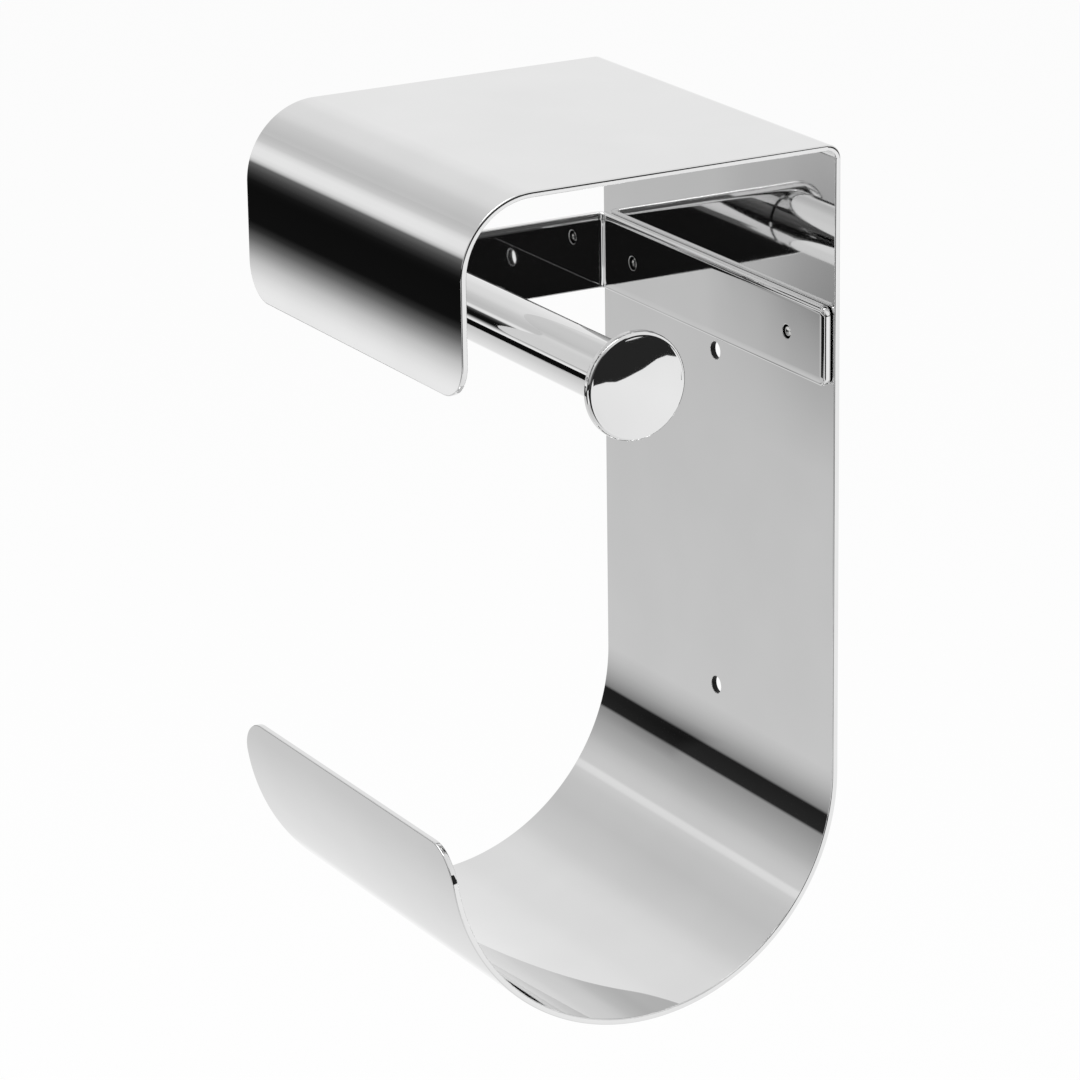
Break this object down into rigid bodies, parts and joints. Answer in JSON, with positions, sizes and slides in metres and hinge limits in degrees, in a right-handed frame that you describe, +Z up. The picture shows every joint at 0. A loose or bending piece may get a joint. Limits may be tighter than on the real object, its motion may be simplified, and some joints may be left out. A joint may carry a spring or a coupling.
{
  "type": "double toilet roll holder",
  "caption": "Wall mounted toilet roll holder bent from one mirror polished steel strip, with a hooded spindle above and an open curved cradle for a spare roll below.",
  "frame": {"origin": "on the wall plane, centred on the width, midway between the two wall holes", "axes": "+Y into the wall, +Z up, +X to the right as seen from the room, from the roll arm towards the knob"},
  "size_m": [0.1188, 0.114, 0.2237],
  "materials": {
    "polished_sheet": "mirror polished",
    "polished_plate": "mirror polished",
    "polished_tube": "mirror polished",
    "polished_knob": "mirror polished",
    "screw_steel": "plain turned",
    "insert_brass": "plain turned"
  },
  "bodies": {
    "root": {"shell": "polished_sheet", "roll_arm_bracket": "polished_plate", "flange_screw_left": "screw_steel", "flange_screw_right": "screw_steel", "spindle_tube": "polished_tube", "arm_end_insert": "insert_brass", "knob_end_insert": "insert_brass", "spindle_screw": "screw_steel", "knob": "polished_knob", "knob_stud": "screw_steel"}
  },
  "joints": []
}
